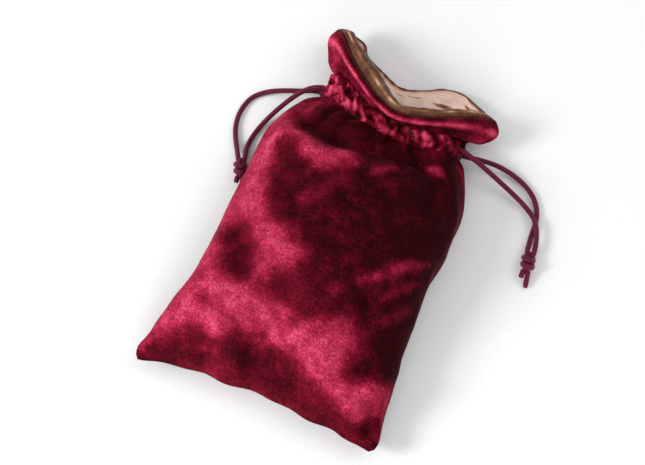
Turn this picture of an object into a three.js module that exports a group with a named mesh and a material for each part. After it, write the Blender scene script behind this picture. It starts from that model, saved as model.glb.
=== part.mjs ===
// A lined velvet drawstring bag for dice, lying on its back, plumped and slightly open.
// Millimetres. +X runs across the bag, +Y along it towards the mouth, +Z up off the table.
// The origin is under the middle of the bag, on the table.
import * as THREE from "three";
import { mergeVertices } from "three/addons/utils/BufferGeometryUtils.js";

// ---- Driving dimensions ----

// Cloth and clearances
const velvetThickness = 1.0;
const liningThickness = 0.6;
const threadDiameter = 0.7;
const touchGap = 0.3; // between two pieces that touch
const liningSlack = 0.8; // between velvet and lining in the body of the bag

// Body of the bag, from its bottom edge to the lower row of casing stitches
const bodyLength = 122.5;
const bottomHalfWidth = 47.8; // across the two bottom corners
const waistHalfWidth = 41.5; // where the sides pull in between the corners and the shoulders
const shoulderHalfWidth = 40.0;
const cornerDistance = 36; // from the bottom corners to where the sides have pulled in
const shoulderDrop = 14; // from the shoulders to the lower row of casing stitches
const bottomHollow = 5; // the bottom edge bows in this far between its corners
const bodyHeight = 33;
const bottomRound = 24; // how far in from the bottom edge the front reaches full height
const bottomHeight = 27; // height of the front where that rounding ends
const backRound = 7; // the same rounding on the underside
const seamHeight = 8; // the side and bottom seams lie level, this far above the table

// Gathered neck: the casing, a channel between velvet and lining for the two cords
const neckHalfWidth = 28.5;
const casingFlare = 3.0; // the casing is this much wider at its two rows of stitches
const neckHeight = 16;
const casingWidth = 11.0; // between the two rows of stitches
const channelClearance = 0.6; // around a cord in its channel
const slitHalfHeight = 4.2; // the side seam is left open this far each way for the cords
const bartackWidth = 1.6;

// Header: the frill of cloth between the casing and the mouth
const backHeaderLength = 15.7;
const frontLipRise = 8.0; // the front lip stands this far above the casing
const frontLipLean = 5.0; // and leans this far back over it
const frontLipBelly = 3.5; // after first running this far on towards the mouth
const mouthHalfWidth = 36.0;
const earLead = 6.0; // the ends of the mouth lie further forward than its middle

// Cords
const cordDiameter = 2.0;
const laneSpacing = 3.2; // between the two cords, side by side in the channel
const exitSpacing = 4.0; // between the two strands of a cord, one above the other in the slit
const exitReach = 1.8; // a cord's loop ends this far outside the neck
const pivotGap = 0.6; // between the end of the loop and its two free strands

// Cloth turned in at the side and bottom seams
const seamAllowance = 3.0;
const seamRoom = 1.5; // between the velvet and the turned-in cloth, which leaves room for its curve

// Fineness of the curved surfaces
const velvetFacet = 9; // length of a facet of the velvet panels
const liningFacet = 12;
const casingRows = 4;
const headerRows = 4;
const ringSegments = 40;
const cordStep = 3.6; // length of a cord's straight facets

// ---- Places worked out from them ----

const groove = threadDiameter + 2 * touchGap; // a row of stitches sinks into a groove this wide
const edgeStitchReach = threadDiameter + 3 * touchGap; // of the stitches past the mouth's edge
const totalLength =
  bodyLength + groove + casingWidth + groove + backHeaderLength + edgeStitchReach;
const bottomY = -totalLength / 2;
const casingStartY = bottomY + bodyLength + groove;
const casingEndY = casingStartY + casingWidth;
const casingMiddleY = (casingStartY + casingEndY) / 2;
const headerStartY = casingEndY + groove;
const neckMiddleZ = neckHeight / 2;
const cordInset = velvetThickness + channelClearance + cordDiameter / 2;
const channelWallInset = velvetThickness + 2 * channelClearance + cordDiameter;
const allowanceInset = velvetThickness + seamRoom;
const liningSideInset = allowanceInset + seamAllowance + 2 * touchGap;
const liningInset = velvetThickness + touchGap;
const bodyLiningInset = velvetThickness + liningSlack;
const cordRadius = cordDiameter / 2;
const panelRows = Math.ceil(bodyLength / velvetFacet);
const panelColumns = 2 * Math.ceil(bottomHalfWidth / velvetFacet) + 8; // closer in the curved sides
const liningRows = Math.ceil(bodyLength / liningFacet);
const liningColumns = 2 * Math.ceil(bottomHalfWidth / liningFacet) + 6;

// ---- Materials ----

function cloth(color, roughness) {
  return new THREE.MeshStandardMaterial({ color, roughness, metalness: 0 });
}

const velvet = cloth(0x5a0a22, 0.75);
const satin = cloth(0xb28a68, 0.45);
const cordSatin = cloth(0x6d0f2a, 0.5);
const thread = cloth(0x2e0612, 0.8);

// ---- Profiles ----

// A smooth curve through the given [distance, value] points.
function through(points) {
  const slopes = points.map((point, i) => {
    const before = points[Math.max(i - 1, 0)];
    const after = points[Math.min(i + 1, points.length - 1)];
    return (after[1] - before[1]) / (after[0] - before[0]);
  });
  return (distance) => {
    const last = points.length - 2;
    const i = Math.min(Math.max(points.findIndex((p) => p[0] > distance) - 1, 0), last);
    const k = distance >= points[last + 1][0] ? last : i;
    const span = points[k + 1][0] - points[k][0];
    const t = Math.min(Math.max((distance - points[k][0]) / span, 0), 1);
    const t2 = t * t;
    const t3 = t2 * t;
    return (
      (2 * t3 - 3 * t2 + 1) * points[k][1] +
      (t3 - 2 * t2 + t) * span * slopes[k] +
      (3 * t2 - 2 * t3) * points[k + 1][1] +
      (t3 - t2) * span * slopes[k + 1]
    );
  };
}

const bodyHalfWidthAt = through([
  [0, bottomHalfWidth],
  [cornerDistance, waistHalfWidth + 1],
  [bodyLength / 2, waistHalfWidth],
  [bodyLength - shoulderDrop, shoulderHalfWidth],
  [bodyLength, neckHalfWidth + casingFlare],
]);

const bodyHeightAt = through([
  [bottomRound, bottomHeight],
  [bodyLength / 2, bodyHeight],
  [bodyLength - 2 * shoulderDrop, bodyHeight - 3],
  [bodyLength, neckHeight],
]);

// How far a rounded edge has risen, from 0 at the edge to 1 where the rounding ends.
function rounding(distance, length) {
  const left = Math.max(1 - distance / length, 0);
  return Math.sqrt(1 - left * left);
}

const fullness = 2.6; // 2 would make the cross-sections elliptical, more makes them squarer

function powered(value) {
  return Math.sign(value) * Math.abs(value) ** (2 / fullness);
}

// The angle round a section at which it has risen by the given share of its height.
function angleAt(share) {
  return Math.asin(share ** (fullness / 2));
}

// Where a section at this distance from the bottom corners lies along the bag, at a place
// across it: the bottom edge bows in, and the bow fades out up the bag.
function bodyY(distance, x, halfWidth) {
  const fade = Math.max(1 - distance / (bodyLength / 2), 0) ** 2;
  return bottomY + distance + bottomHollow * fade * (1 - (x / halfWidth) ** 2);
}

// A point on the body's section: distance from the bottom edge, angle round the section,
// and how far in from the velvet's outer face at the top and bottom and at the sides.
function bodyPoint(distance, angle, inset, sideInset) {
  const halfWidth = bodyHalfWidthAt(distance);
  const edge = Math.max(distance - sideInset, 0);
  const top = bodyHeightAt(Math.max(distance, bottomRound)) - inset - seamHeight;
  const front = Math.max(top * rounding(edge, bottomRound), touchGap);
  const back = Math.max((seamHeight - inset) * rounding(edge, backRound), touchGap);
  const rise = powered(Math.sin(angle));
  const flattened = Math.max(rise * 1.15, -1); // the underside is flat where it meets the table
  const x = (halfWidth - sideInset) * powered(Math.cos(angle));
  const z = seamHeight + (rise > 0 ? front * rise : back * flattened);
  return new THREE.Vector3(x, bodyY(distance, x, halfWidth), z);
}

// A point on the neck's section, narrowest at the middle of the casing.
function neckPoint(y, angle, inset) {
  const rise = powered(Math.sin(angle));
  const flare = casingFlare * ((2 * (y - casingMiddleY)) / (casingWidth + 2 * groove)) ** 2;
  return new THREE.Vector3(
    (neckHalfWidth + flare - inset) * powered(Math.cos(angle)),
    y,
    neckMiddleZ + (neckMiddleZ - inset) * rise,
  );
}

// The middle of the front header, seen from the side: it curls up and back over the casing.
const frontLip = new THREE.QuadraticBezierCurve(
  new THREE.Vector2(headerStartY, neckHeight),
  new THREE.Vector2(headerStartY + frontLipBelly, neckHeight + frontLipRise * 0.4),
  new THREE.Vector2(headerStartY - frontLipLean, neckHeight + frontLipRise),
);

// A point on the header: 0 at the casing to 1 at the mouth, angle round, and inset.
function headerPoint(along, angle, inset) {
  const heading = frontLip.getTangent(Math.min(along, 1));
  const inwards = new THREE.Vector2(heading.y, -heading.x);
  const front = frontLip.getPoint(along).addScaledVector(inwards, inset);
  const back = new THREE.Vector2(headerStartY + backHeaderLength * along, inset);
  const middle = front.clone().add(back).multiplyScalar(0.5);
  const half = front.clone().sub(back).multiplyScalar(0.5);
  const flare = along * (2 - along);
  const startHalfWidth = neckHalfWidth + casingFlare;
  const halfWidth = startHalfWidth + (mouthHalfWidth - startHalfWidth) * flare - inset;
  const rise = powered(Math.sin(angle));
  const ear = earLead * along * along * (1 - rise * rise) ** 2;
  return new THREE.Vector3(
    halfWidth * powered(Math.cos(angle)),
    middle.x + half.x * rise + ear,
    middle.y + half.y * rise,
  );
}

// ---- Building solids ----

function geometryFrom(vertices, triangles) {
  const geometry = new THREE.BufferGeometry();
  geometry.setAttribute("position", new THREE.Float32BufferAttribute(vertices, 3));
  geometry.setIndex(triangles);
  const merged = mergeVertices(geometry, 1e-4);
  merged.computeVertexNormals();
  return merged;
}

// A sheet of cloth with thickness: outer(u, v) and inner(u, v) give its two faces for u and v
// from 0 to 1, with u running against the clock round the bag and v towards the mouth.
function sheet(outer, inner, columns, rows) {
  const vertices = [];
  const triangles = [];
  const across = columns + 1;
  const faceSize = across * (rows + 1);
  for (const face of [outer, inner]) {
    for (let row = 0; row <= rows; row++) {
      for (let column = 0; column <= columns; column++) {
        vertices.push(...face(column / columns, row / rows).toArray());
      }
    }
  }
  const quad = (a, b, c, d) => triangles.push(a, b, c, a, c, d);
  const at = (column, row, face) => face * faceSize + row * across + column;
  for (let row = 0; row < rows; row++) {
    for (let c = 0; c < columns; c++) {
      quad(at(c, row, 0), at(c, row + 1, 0), at(c + 1, row + 1, 0), at(c + 1, row, 0));
      quad(at(c, row, 1), at(c + 1, row, 1), at(c + 1, row + 1, 1), at(c, row + 1, 1));
    }
    quad(at(0, row, 0), at(0, row, 1), at(0, row + 1, 1), at(0, row + 1, 0));
    const e = columns;
    quad(at(e, row, 0), at(e, row + 1, 0), at(e, row + 1, 1), at(e, row, 1));
  }
  for (let c = 0; c < columns; c++) {
    quad(at(c, 0, 0), at(c + 1, 0, 0), at(c + 1, 0, 1), at(c, 0, 1));
    quad(at(c, rows, 0), at(c, rows, 1), at(c + 1, rows, 1), at(c + 1, rows, 0));
  }
  return geometryFrom(vertices, triangles);
}

// A thread laid in a closed loop round the bag. pointAt takes the angle round the section.
function threadLoop(pointAt) {
  const sides = 6;
  const vertices = [];
  const triangles = [];
  const across = pointAt(0).sub(pointAt(Math.PI));
  const mouthward = pointAt(-Math.PI / 2).sub(pointAt(Math.PI / 2)).cross(across).normalize();
  for (let i = 0; i < ringSegments; i++) {
    const here = pointAt((2 * Math.PI * i) / ringSegments);
    const ahead = pointAt((2 * Math.PI * (i + 0.5)) / ringSegments);
    const behind = pointAt((2 * Math.PI * (i - 0.5)) / ringSegments);
    const tangent = ahead.sub(behind).normalize();
    const outward = tangent.clone().cross(mouthward).normalize();
    const upward = outward.clone().cross(tangent);
    for (let j = 0; j < sides; j++) {
      const angle = (2 * Math.PI * j) / sides;
      const point = here
        .clone()
        .addScaledVector(outward, (threadDiameter / 2) * Math.cos(angle))
        .addScaledVector(upward, (threadDiameter / 2) * Math.sin(angle));
      vertices.push(...point.toArray());
    }
  }
  for (let i = 0; i < ringSegments; i++) {
    for (let j = 0; j < sides; j++) {
      const nextI = ((i + 1) % ringSegments) * sides;
      const nextJ = (j + 1) % sides;
      triangles.push(i * sides + j, nextI + j, nextI + nextJ);
      triangles.push(i * sides + j, nextI + nextJ, i * sides + nextJ);
    }
  }
  return geometryFrom(vertices, triangles);
}

// A round cord along a route of points.
function cord(points) {
  const path = new THREE.CatmullRomCurve3(points, false, "centripetal");
  const section = new THREE.Shape();
  section.absarc(0, 0, cordRadius, 0, 2 * Math.PI);
  const steps = Math.max(Math.round(path.getLength() / cordStep), 2);
  return new THREE.ExtrudeGeometry(section, { steps, curveSegments: 8, extrudePath: path });
}

// A flat band that follows the side and bottom seams inside the bag.
function seamBand(outerInset, innerInset, thickness) {
  const edge = (inset) => {
    const points = [];
    const point = (distance, side) => {
      const halfWidth = bodyHalfWidthAt(distance);
      const x = side * (halfWidth - inset);
      points.push(new THREE.Vector2(x, bodyY(distance, x, halfWidth)));
    };
    const length = bodyLength - touchGap - inset;
    for (let i = panelRows; i > 0; i--) {
      point(inset + (length * i) / panelRows, 1);
    }
    for (let i = 0; i <= panelRows; i++) {
      point(inset, 1 - (2 * i) / panelRows);
    }
    for (let i = 1; i <= panelRows; i++) {
      point(inset + (length * i) / panelRows, -1);
    }
    return points;
  };
  const shape = new THREE.Shape([...edge(outerInset), ...edge(innerInset).reverse()].reverse());
  const band = new THREE.ExtrudeGeometry(shape, { depth: thickness, bevelEnabled: false });
  return band.translate(0, 0, seamHeight - thickness / 2);
}

// ---- The pieces ----

const bag = new THREE.Group();

function add(name, geometry, material) {
  const piece = new THREE.Mesh(geometry, material);
  piece.name = name;
  bag.add(piece);
  return piece;
}

// The front half of a section runs from one side seam over the top to the other, and the back
// half under the bag. Each stops short of the seam by the given share of its height.
function halves(firstAngle) {
  return {
    front: (u) => firstAngle + (Math.PI - 2 * firstAngle) * u,
    back: (u) => Math.PI + firstAngle + (Math.PI - 2 * firstAngle) * u,
  };
}

const seamEdge = halves(angleAt(touchGap / 2 / seamHeight));
const slitEdge = halves(angleAt(slitHalfHeight / neckMiddleZ));

function bodyPanel(side, inset, sideInset, thickness, edges, columns, rows) {
  const face = (depth) => (u, v) => {
    const start = sideInset + depth;
    const eased = v * (0.35 + 0.65 * v); // closer rows where the bottom edge curves
    const distance = start + (bodyLength - start) * eased;
    return bodyPoint(distance, edges[side](u), inset + depth, sideInset + depth);
  };
  return sheet(face(0), face(thickness), columns, rows);
}

function casingPanel(side, inset, thickness, edges) {
  const face = (depth) => (u, v) =>
    neckPoint(casingStartY + casingWidth * v, edges[side](u), inset + depth);
  return sheet(face(0), face(thickness), panelColumns, casingRows);
}

function headerPanel(side, inset, thickness) {
  const face = (depth) => (u, v) => headerPoint(v, seamEdge[side](u), inset + depth);
  return sheet(face(0), face(thickness), panelColumns, headerRows);
}

function addPanels() {
  for (const side of ["front", "back"]) {
    const velvetBody = bodyPanel(
      side, 0, 0, velvetThickness, seamEdge, panelColumns, panelRows,
    );
    add(`velvet_${side}_panel`, velvetBody, velvet);
    const liningBody = bodyPanel(
      side, bodyLiningInset, liningSideInset, liningThickness, seamEdge, liningColumns, liningRows,
    );
    add(`lining_${side}_panel`, liningBody, satin);
    add(`casing_${side}`, casingPanel(side, 0, velvetThickness, slitEdge), velvet);
    const wall = casingPanel(side, channelWallInset, liningThickness, seamEdge);
    add(`casing_${side}_lining`, wall, satin);
    add(`header_${side}`, headerPanel(side, 0, velvetThickness), velvet);
    add(`header_${side}_lining`, headerPanel(side, liningInset, liningThickness), satin);
  }
}

function addSeams() {
  const allowance = seamBand(allowanceInset, allowanceInset + seamAllowance, 2 * velvetThickness);
  add("velvet_seam_allowance", allowance, velvet);
  const middle = velvetThickness / 2;
  for (const [name, y] of [
    ["casing_lower_stitches", casingStartY - groove / 2],
    ["casing_upper_stitches", casingEndY + groove / 2],
  ]) {
    add(name, threadLoop((angle) => neckPoint(y, angle, middle)), thread);
  }
  const pastEdge = 1 + (edgeStitchReach - threadDiameter / 2) / backHeaderLength;
  const edge = threadLoop((angle) => headerPoint(pastEdge, angle, velvetThickness));
  add("mouth_edge_stitches", edge, thread);
}

// A bartack closes each end of the slit that the cords leave by.
function addBartacks() {
  const reach = angleAt((slitHalfHeight - touchGap) / neckMiddleZ);
  for (const [side, centre] of [
    ["left", Math.PI],
    ["right", 0],
  ]) {
    for (const [place, startY] of [
      ["lower", casingStartY],
      ["upper", casingEndY - bartackWidth],
    ]) {
      const face = (inset) => (u, v) =>
        neckPoint(startY + bartackWidth * v, centre - reach + 2 * reach * u, inset);
      add(`${side}_${place}_bartack`, sheet(face(0), face(velvetThickness), 4, 1), thread);
    }
  }
}

// The part of a cord inside the casing: in at the slit on its own side, through the front
// channel, round the far end of the neck and back through the back channel.
function cordLoop(side, laneY) {
  const turn = 0.8 * Math.PI; // how far round from the far end the channel is followed each way
  const exitX = neckHalfWidth + exitReach;
  const route = [];
  const ends = (z) => [
    new THREE.Vector3(exitX, laneY, z),
    new THREE.Vector3(neckHalfWidth - exitReach / 2, laneY, z),
  ];
  route.push(...ends(neckMiddleZ + exitSpacing / 2));
  const count = 18;
  for (let i = 0; i <= count; i++) {
    const angle = Math.PI - turn + (2 * turn * i) / count;
    route.push(neckPoint(laneY, angle, cordInset));
  }
  route.push(...ends(neckMiddleZ - exitSpacing / 2).reverse());
  route.forEach((point) => {
    point.x *= side;
  });
  return cord(route);
}

// Each free strand: points as distances out from the slit and along the bag from the exit,
// and heights above the table.
const strands = {
  left_outer_strand: [
    [0, 0, 6.0], [3.6, -0.6, 5.4], [7.6, -1.8, 4.3], [11.2, -2.8, 3.4], [15, -4, 2.6],
    [19.2, -5.7, 1.7], [22.8, -8.2, 1.1], [25.2, -11.4, 1.05], [26.4, -15.6, 1.05],
    [26.5, -20.6, 1.05], [25.4, -25.6, 1.05], [23.2, -30.2, 1.2], [20.6, -34.4, 2.0],
    [18.2, -38.3, 3.0],
  ],
  left_inner_strand: [
    [0, 0, 10.0], [3.4, -1.7, 9.6], [6.8, -4.6, 8.3], [10.3, -9, 6.0], [13.6, -14.5, 3.6],
    [16.2, -20.6, 1.8], [17.5, -26.4, 1.1], [17.5, -31.4, 1.5], [16.6, -35, 2.4],
    [15.8, -37.4, 3.0],
  ],
  right_outer_strand: [
    [0, 0, 6.0], [3.2, 0.6, 5.8], [7, 1.6, 5.1], [11.6, 2.5, 4.0], [16.3, 2.7, 2.8],
    [21, 2.1, 1.7], [25.6, 0.5, 1.1], [29.4, -1.9, 1.05], [32.2, -4.8, 1.05],
    [34.1, -8, 1.05], [35.2, -11.4, 1.05], [35.7, -15, 1.05], [36, -18.6, 1.15],
    [36.5, -22.2, 1.9], [37.1, -25.9, 3.0],
  ],
  right_inner_strand: [
    [0, 0, 10.0], [3.3, -0.9, 9.4], [7.6, -1.7, 8.1], [12.4, -2.8, 6.4], [17.4, -4.1, 4.7],
    [22.4, -5.5, 3.1], [27, -7.2, 2.1], [30.9, -9.3, 1.9], [33.8, -11.7, 2.7],
    [35.8, -14.3, 3.4], [37.4, -17.3, 3.4], [38.7, -21, 3.2], [39.7, -25.5, 3.0],
  ],
};

// Each knot: its middle from the exit, its height, and which way its two tails point.
const knots = {
  left_knot: { out: 15.5, along: -41.9, height: 3.0, direction: [-0.34, -0.94], tails: [2.6, 1.6] },
  right_knot: { out: 39.0, along: -30.0, height: 3.0, direction: [0.15, -0.99], tails: [5.2, 2.2] },
};
const knotLength = 8.0;
const knotRadius = 2.9;
const tailFall = 0.42; // height that a tail loses for each millimetre of its length

function knotGeometry() {
  const profile = [new THREE.Vector2(0, -knotLength / 2)];
  const steps = 8;
  for (let i = 1; i < steps; i++) {
    const angle = -Math.PI / 2 + (Math.PI * i) / steps;
    const lobes = 1 - 0.1 * Math.cos(4 * angle) ** 2; // two bights with a waist between them
    const radius = knotRadius * lobes * Math.cos(angle) ** 0.6;
    profile.push(new THREE.Vector2(radius, (knotLength / 2) * Math.sin(angle)));
  }
  profile.push(new THREE.Vector2(0, knotLength / 2));
  return new THREE.LatheGeometry(profile, 14);
}

function addCord(name, side, laneY) {
  add(`${name}_cord_loop`, cordLoop(side, laneY), cordSatin);
  const pivotX = neckHalfWidth + exitReach + pivotGap;
  const place = (out, along, height) =>
    new THREE.Vector3(side * (pivotX + out), laneY + along, height);
  for (const position of ["outer", "inner"]) {
    const strand = `${name}_${position}_strand`;
    add(strand, cord(strands[strand].map((point) => place(...point))), cordSatin);
  }
  const knot = knots[`${name}_knot`];
  const [out, along] = knot.direction;
  const direction = new THREE.Vector3(side * out, along, 0).normalize();
  const middle = place(knot.out, knot.along, knot.height);
  const body = add(`${name}_knot`, knotGeometry(), cordSatin);
  body.position.copy(middle);
  body.quaternion.setFromUnitVectors(new THREE.Vector3(0, 1, 0), direction);
  const across = new THREE.Vector3(-direction.y, direction.x, 0);
  knot.tails.forEach((length, i) => {
    const sign = i === 0 ? 1 : -1;
    const tail = [0, 0.5, 1].map((share) =>
      middle
        .clone()
        .addScaledVector(direction, knotLength / 2 + touchGap + length * share)
        .addScaledVector(across, sign * (cordRadius + touchGap))
        .setZ(Math.max(knot.height - tailFall * length * share, cordRadius + 0.1)),
    );
    add(`${name}_tail_${i + 1}`, cord(tail), cordSatin);
  });
}

addPanels();
addSeams();
addBartacks();
addCord("left", -1, casingMiddleY + laneSpacing / 2);
addCord("right", 1, casingMiddleY - laneSpacing / 2);

export default bag;
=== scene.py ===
"""A lined velvet drawstring bag for dice, lying on its back with its neck half drawn."""

import math

import bpy
import numpy as np
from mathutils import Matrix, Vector, noise


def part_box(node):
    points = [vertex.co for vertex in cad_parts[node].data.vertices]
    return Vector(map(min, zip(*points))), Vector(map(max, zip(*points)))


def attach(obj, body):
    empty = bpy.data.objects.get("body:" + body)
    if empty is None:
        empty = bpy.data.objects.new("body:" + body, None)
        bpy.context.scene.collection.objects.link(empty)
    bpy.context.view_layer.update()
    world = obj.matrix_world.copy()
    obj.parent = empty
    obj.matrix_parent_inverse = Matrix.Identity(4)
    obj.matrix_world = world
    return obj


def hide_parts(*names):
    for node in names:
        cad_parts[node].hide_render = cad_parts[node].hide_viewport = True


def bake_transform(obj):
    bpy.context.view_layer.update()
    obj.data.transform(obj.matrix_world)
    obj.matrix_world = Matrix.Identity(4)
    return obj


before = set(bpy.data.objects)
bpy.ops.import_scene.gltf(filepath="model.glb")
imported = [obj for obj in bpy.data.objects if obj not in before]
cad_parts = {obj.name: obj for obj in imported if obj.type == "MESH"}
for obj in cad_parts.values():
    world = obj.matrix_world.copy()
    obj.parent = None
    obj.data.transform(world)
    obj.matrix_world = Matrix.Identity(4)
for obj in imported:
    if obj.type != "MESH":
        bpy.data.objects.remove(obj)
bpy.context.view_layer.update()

MM = 0.001
rng = np.random.default_rng(7)

# ---- Sizes, in millimetres, in the frame of the CAD parts ----

VELVET = 0.8  # thickness of the cloths
LINING = 0.48
CORD = 2.0  # diameter of the cords
THREAD = 0.5
FLAT_WIDTH = 102.0  # the panels before they were gathered
BODY_CLOTH = 127.0  # from the bottom seam to the lower row of casing stitches
ON_TABLE = 0.03  # nothing lies lower than this
SEAM_Z = 8.0  # height of the side and bottom seams
NECK_TAPER = 34.0  # length over which the body narrows to the lower row of stitches
NECK_FOLLOW = 86.0  # from this distance from the bottom to the lower stitches, a share in build_bag rises from 0 to 1
NECK_INSET = 5.2  # the lining under the velvet at the neck
BODY_INSET = 2.2  # the lining under the velvet of the body
CHANNEL_DEPTH = 3.5  # the middle of the cords under the velvet of the casing

COLUMNS = 152  # round the bag; the front and the back take half each
HALF = COLUMNS // 2
BODY_ROWS = 84
CASING_ROWS = 14
HEADER_ROWS = 28
LIP_ROWS = HEADER_ROWS + 20  # the lining from the edge of the mouth to the upper stitches
BODY_END = BODY_ROWS + 1
CASING_END = BODY_END + CASING_ROWS
BODY = slice(0, BODY_END)  # the rows of each band in the grid of the whole bag
CASING = slice(BODY_END - 1, CASING_END)
HEADER = slice(CASING_END - 1, None)

bag_low, bag_high = (np.array(c) * 1000 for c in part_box("velvet_front_panel"))
BOTTOM_Y = bag_low[1]
UP = np.array([0, 0, 1.0])

# ---- Camera, light and floor, in metres ----

LENS = 110
CAMERA_PLACE = (0.12167, -0.28425, 0.68765)
CAMERA_TARGET = (-0.0048, -0.0028, 0.0106)
DAYLIGHT = 0.6  # strength of the white world
# Each light's place, the point it faces, its diameter (m) and its power (W).
LIGHTS = {
    "key": ((-0.75, -0.55, 0.62), (0, 0, 0.01), 0.45, 9.0),
    "fill": ((0.7, 0.5, 0.9), (0, 0, 0), 0.9, 3.0),
    "front": ((0.25, -0.9, 0.35), (0, -0.02, 0.01), 0.5, 3.0),
}
FLOOR_HALF = 1.5


def in_scene(name, data):
    obj = bpy.data.objects.new(name, data)
    bpy.context.collection.objects.link(obj)
    return obj


def place_facing(name, data, place, target):
    obj = in_scene(name, data)
    obj.location = place
    obj.rotation_euler = (Vector(target) - obj.location).to_track_quat("-Z", "Y").to_euler()
    return obj


def add_camera():
    data = bpy.data.cameras.new("camera")
    data.lens = LENS
    data.sensor_width = 36
    data.clip_start = 0.01
    bpy.context.scene.camera = place_facing("camera", data, CAMERA_PLACE, CAMERA_TARGET)


def add_studio():
    world = bpy.data.worlds.new("studio")
    bpy.context.scene.world = world
    world.use_nodes = True
    background = world.node_tree.nodes["Background"]
    background.inputs["Color"].default_value = (1, 1, 1, 1)
    background.inputs["Strength"].default_value = DAYLIGHT
    for name, (place, target, size, power) in LIGHTS.items():
        data = bpy.data.lights.new(name, "AREA")
        data.shape = "DISK"
        data.size = size
        data.energy = power
        place_facing(name, data, place, target)
    bpy.context.scene.view_settings.view_transform = "Standard"


def add_floor():
    half = FLOOR_HALF
    mesh = bpy.data.meshes.new("floor")
    corners = [(-half, -half, 0), (half, -half, 0), (half, half, 0), (-half, half, 0)]
    mesh.from_pydata(corners, [], [(0, 1, 2, 3)])
    floor = in_scene("floor", mesh)
    shader = Shader("floor_paper", {"Roughness": 0.9})
    speckle = shader.texture("Noise", scale=900.0, detail=2.0)
    shader.paint(shader.ramp(speckle, [(0.3, (0.86,) * 3), (0.7, (0.9,) * 3)]))
    mesh.materials.append(shader.material)


# ---- Materials ----


class Shader:
    """A material in the making: one surface, and the nodes that lead to it."""

    def __init__(self, name, settings):
        self.material = bpy.data.materials.new(name)
        self.material.use_nodes = True
        self.nodes = self.material.node_tree.nodes
        self.surface = self.nodes["Principled BSDF"]
        self.feed(self.surface, settings)

    def feed(self, node, inputs):
        """Joins each input to another node's output, or sets it to a value."""
        for key, value in dict(inputs).items():
            if isinstance(value, bpy.types.NodeSocket):
                self.material.node_tree.links.new(value, node.inputs[key])
            else:
                node.inputs[key].default_value = value

    def add(self, kind, inputs=(), **settings):
        node = self.nodes.new("ShaderNode" + kind)
        for key, value in settings.items():
            setattr(node, key, value)
        self.feed(node, inputs)
        return node

    def attribute(self, name, output="Fac"):
        return self.add("Attribute", attribute_name=name).outputs[output]

    def texture(self, kind, place=None, **inputs):
        """A noise or wave, over the object or over the given place."""
        if place is None:
            place = self.add("TexCoord").outputs["Object"]
        named = {key.capitalize(): value for key, value in inputs.items()}
        return self.add("Tex" + kind, {"Vector": place, **named}).outputs["Fac"]

    def ramp(self, value, stops):
        node = self.add("ValToRGB", {"Fac": value})
        elements = node.color_ramp.elements
        while len(elements) < len(stops):
            elements.new(0.5)
        for element, (place, color) in zip(elements, stops):
            element.position = place
            element.color = (*color, 1)
        return node.outputs["Color"]

    def multiply(self, first, second):
        inputs = {0: 1.0, 6: first, 7: second}
        return self.add("Mix", inputs, data_type="RGBA", blend_type="MULTIPLY").outputs[2]

    def weighted_sum(self, total, terms):
        for value, weight in terms:
            total = self.add("Math", {0: value, 1: weight, 2: total}, operation="MULTIPLY_ADD").outputs[0]
        return total

    def paint(self, color):
        self.feed(self.surface, {"Base Color": color})

    def bump(self, height, strength, distance):
        node = self.add("Bump", {"Strength": strength, "Distance": distance, "Height": height})
        self.feed(self.surface, {"Normal": node.outputs["Normal"]})


def velvet_material(name):
    """Short pile with its sheen and shade painted into the colour: almost black as painted shade and where
    it is brushed up, pink as painted sheen where it lies over and where it faces the key light, with a
    painted sparkle.
    """
    shader = Shader(name, {
        "Roughness": 0.75, "Specular IOR Level": 0.04,
        "Sheen Weight": 0.12, "Sheen Roughness": 0.3, "Sheen Tint": (0.85, 0.1, 0.22, 1),
    })
    normal = shader.add("NewGeometry").outputs["Normal"]
    # Painted light: the colour lightens where the surface faces this fixed direction, towards the key light
    # at the lower left.
    painted_light_side = Vector((-0.62, -0.52, 0.58)).normalized()
    lean = shader.add("VectorMath", {0: normal, 1: painted_light_side}, operation="DOT_PRODUCT")
    brushed = shader.texture("Noise", scale=150.0, detail=4.0, roughness=0.65)
    fine = shader.texture("Noise", scale=900.0, detail=3.0, roughness=0.8)
    # Painted sheen and painted shade from the painted attribute and from the facing above, with random
    # patches and speckle, all mapped from near black to pink.
    total = shader.weighted_sum(-0.81, [
        (shader.attribute("nap_and_sheen"), 0.62), (lean.outputs["Value"], 0.26), (brushed, 0.75), (fine, 0.75),
    ])
    color = shader.ramp(total, [
        (0.0, (0.022, 0.0003, 0.0015)), (0.2, (0.072, 0.001, 0.006)), (0.46, (0.17, 0.004, 0.018)),
        (0.72, (0.38, 0.02, 0.057)), (1.0, (0.7, 0.08, 0.16)),
    ])
    pile = shader.texture("Noise", scale=2400.0, detail=2.0, roughness=0.7)
    # Painted sparkle: fine pile noise scatters small bright glints and darker specks through the colour.
    pile_grain_and_sparkle = shader.ramp(pile, [(0.34, (0.5,) * 3), (0.68, (1.45,) * 3)])
    shader.paint(shader.multiply(color, pile_grain_and_sparkle))
    shader.bump(pile, 0.5, 0.0003)
    return shader.material


def satin_material(name):
    """Lining: pale tan in the open, golden brown as painted shade where it rolls over, in its folds and deep
    in the neck, with a fine weave.
    """
    shader = Shader(name, {"Roughness": 0.5, "Specular IOR Level": 0.2, "Sheen Weight": 0.06})
    clouds = shader.texture("Noise", scale=520.0, detail=5.0, roughness=0.85)
    # Painted shade: the attribute darkens the tan to golden and deep brown.
    total = shader.weighted_sum(-0.28, [(clouds, 0.7), (shader.attribute("satin_shade"), 0.78)])
    tone = shader.ramp(total, [
        (0.05, (0.94, 0.71, 0.61)), (0.3, (0.82, 0.58, 0.48)), (0.52, (0.42, 0.2, 0.1)),
        (0.76, (0.2, 0.075, 0.03)), (1.0, (0.07, 0.022, 0.01)),
    ])
    weave = shader.texture("Wave", scale=700.0, distortion=3.0, detail=2.0)
    shader.paint(shader.multiply(tone, shader.ramp(weave, [(0.0, (0.82,) * 3), (1.0, (1.1,) * 3)])))
    shader.bump(weave, 0.3, 0.0002)
    return shader.material


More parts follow.
